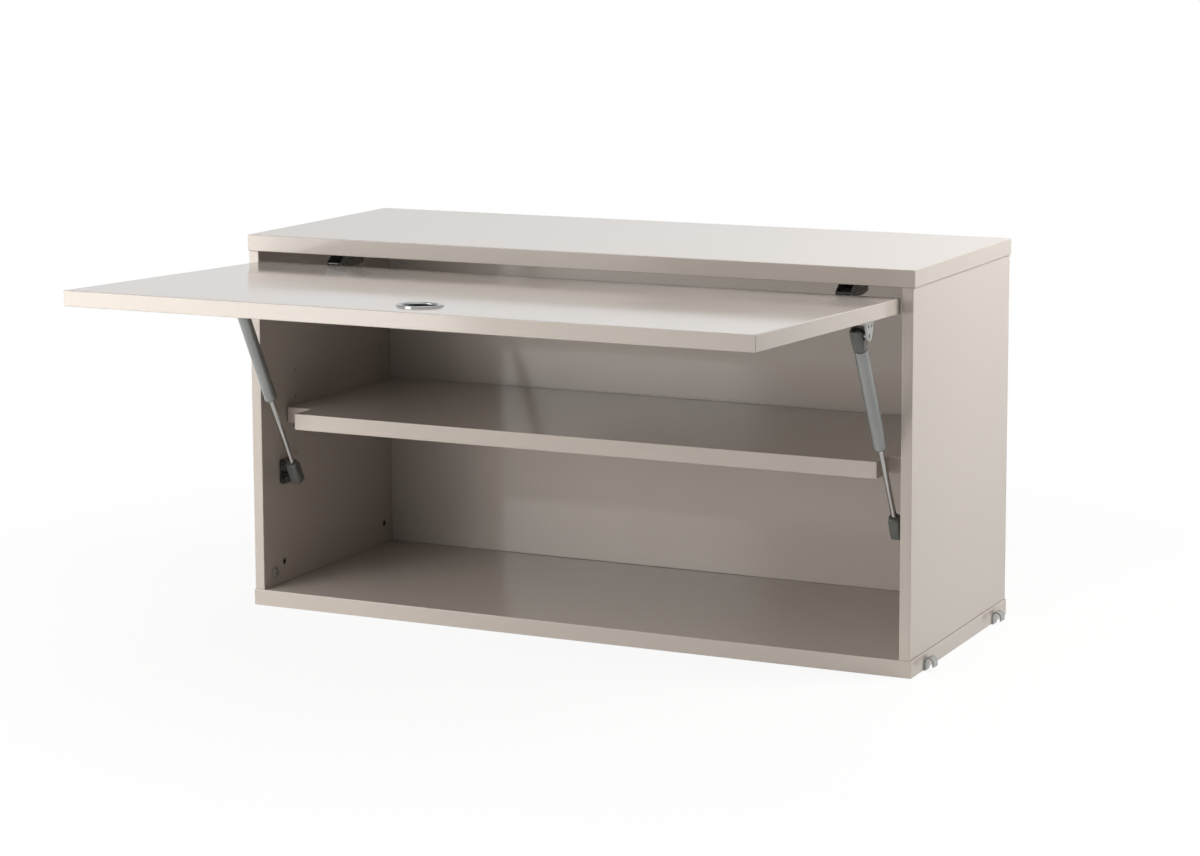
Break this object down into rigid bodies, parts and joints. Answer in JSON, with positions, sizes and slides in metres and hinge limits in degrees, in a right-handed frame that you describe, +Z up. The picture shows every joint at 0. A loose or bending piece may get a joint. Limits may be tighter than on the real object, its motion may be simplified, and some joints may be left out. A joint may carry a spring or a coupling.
{
  "type": "lift up wall cabinet",
  "caption": "Wide lacquered wall cabinet with a lift-up front door held open by gas struts, a notched inner shelf and steel hooks that hang it on the rungs of a side frame.",
  "frame": {"origin": "centre of the cabinet's underside", "axes": "+X to the right seen from the front, +Y from the front to the back, +Z up"},
  "size_m": [0.802, 0.6766, 0.418],
  "materials": {
    "lacquer": "greige satin lacquer on fibreboard",
    "chrome": "polished",
    "black_steel": "black coated sheet steel",
    "zinc": "bright zinc plate",
    "strut_grey": "grey satin paint on tube",
    "dark_plastic": "moulded dark grey",
    "black_plastic": "moulded black",
    "beech": "plain turned dowel",
    "stop_rubber": "soft grey"
  },
  "bodies": {
    "root": {"top_panel": "lacquer", "bottom_panel": "lacquer", "left_side_panel": "lacquer", "right_side_panel": "lacquer", "back_panel": "lacquer", "carcass_dowels": "beech", "joint_bolts": "black_steel", "shelf": "lacquer", "shelf_pins": "zinc", "left_hinge_plate": "black_steel", "right_hinge_plate": "black_steel", "left_hinge_arm": "black_steel", "right_hinge_arm": "black_steel", "plate_screws": "black_steel", "arm_screws": "zinc", "link_pins": "zinc", "left_side_bracket": "black_steel", "right_side_bracket": "black_steel", "left_side_stud": "black_steel", "right_side_stud": "black_steel", "side_bracket_screws": "black_steel", "door_stops": "stop_rubber", "front_left_hook": "zinc", "front_right_hook": "zinc", "back_left_hook": "zinc", "back_right_hook": "zinc", "hook_screws": "zinc"},
    "door": {"door_panel": "lacquer", "grip_ring": "chrome", "left_hinge_cup": "black_steel", "right_hinge_cup": "black_steel", "cup_screws": "black_steel", "left_door_bracket": "zinc", "right_door_bracket": "zinc", "left_door_ball": "zinc", "right_door_ball": "zinc", "door_bracket_screws": "zinc"},
    "left_link": {"left_hinge_link": "black_steel"},
    "left_tube": {"left_strut_tube": "strut_grey", "left_strut_gland": "black_plastic", "left_top_socket": "dark_plastic"},
    "left_rod": {"left_strut_rod": "chrome", "left_strut_piston": "black_plastic", "left_bottom_socket": "dark_plastic"},
    "right_link": {"right_hinge_link": "black_steel"},
    "right_tube": {"right_strut_tube": "strut_grey", "right_strut_gland": "black_plastic", "right_top_socket": "dark_plastic"},
    "right_rod": {"right_strut_rod": "chrome", "right_strut_piston": "black_plastic", "right_bottom_socket": "dark_plastic"}
  },
  "joints": [
    {"name": "door_lift", "type": "hinge", "parent": "root", "child": "door", "pos_m": [0, -0.1544, 0.3903], "axis": [1, 0, 0], "range_deg": [0, 92]},
    {"name": "left_link_turn", "type": "hinge", "parent": "root", "child": "left_link", "pos_m": [-0.2915, -0.1325, 0.388], "axis": [1, 0, 0], "range_deg": [0, 38]},
    {"name": "left_strut_swing", "type": "hinge", "parent": "door", "child": "left_tube", "pos_m": [-0.358, -0.22787, 0.36095], "axis": [1, 0, 0], "range_deg": [-116.42, 0]},
    {"name": "left_rod_slide", "type": "slide", "parent": "left_tube", "child": "left_rod", "axis": [0, -0.4722, 0.8815], "range_m": [0, 0.072]},
    {"name": "right_link_turn", "type": "hinge", "parent": "root", "child": "right_link", "pos_m": [0.306, -0.1325, 0.388], "axis": [1, 0, 0], "range_deg": [0, 38]},
    {"name": "right_strut_swing", "type": "hinge", "parent": "door", "child": "right_tube", "pos_m": [0.358, -0.22787, 0.36095], "axis": [1, 0, 0], "range_deg": [-116.42, 0]},
    {"name": "right_rod_slide", "type": "slide", "parent": "right_tube", "child": "right_rod", "axis": [0, -0.4722, 0.8815], "range_m": [0, 0.072]}
  ],
  "couplings": [
    {"joint": "left_link_turn", "follows": "door_lift", "ratio": 0.41304},
    {"joint": "left_strut_swing", "follows": "door_lift", "ratio": -1.2655},
    {"joint": "left_rod_slide", "follows": "door_lift", "m_per_rad": 0.04484},
    {"joint": "right_link_turn", "follows": "door_lift", "ratio": 0.41304},
    {"joint": "right_strut_swing", "follows": "door_lift", "ratio": -1.2655},
    {"joint": "right_rod_slide", "follows": "door_lift", "m_per_rad": 0.04484}
  ]
}
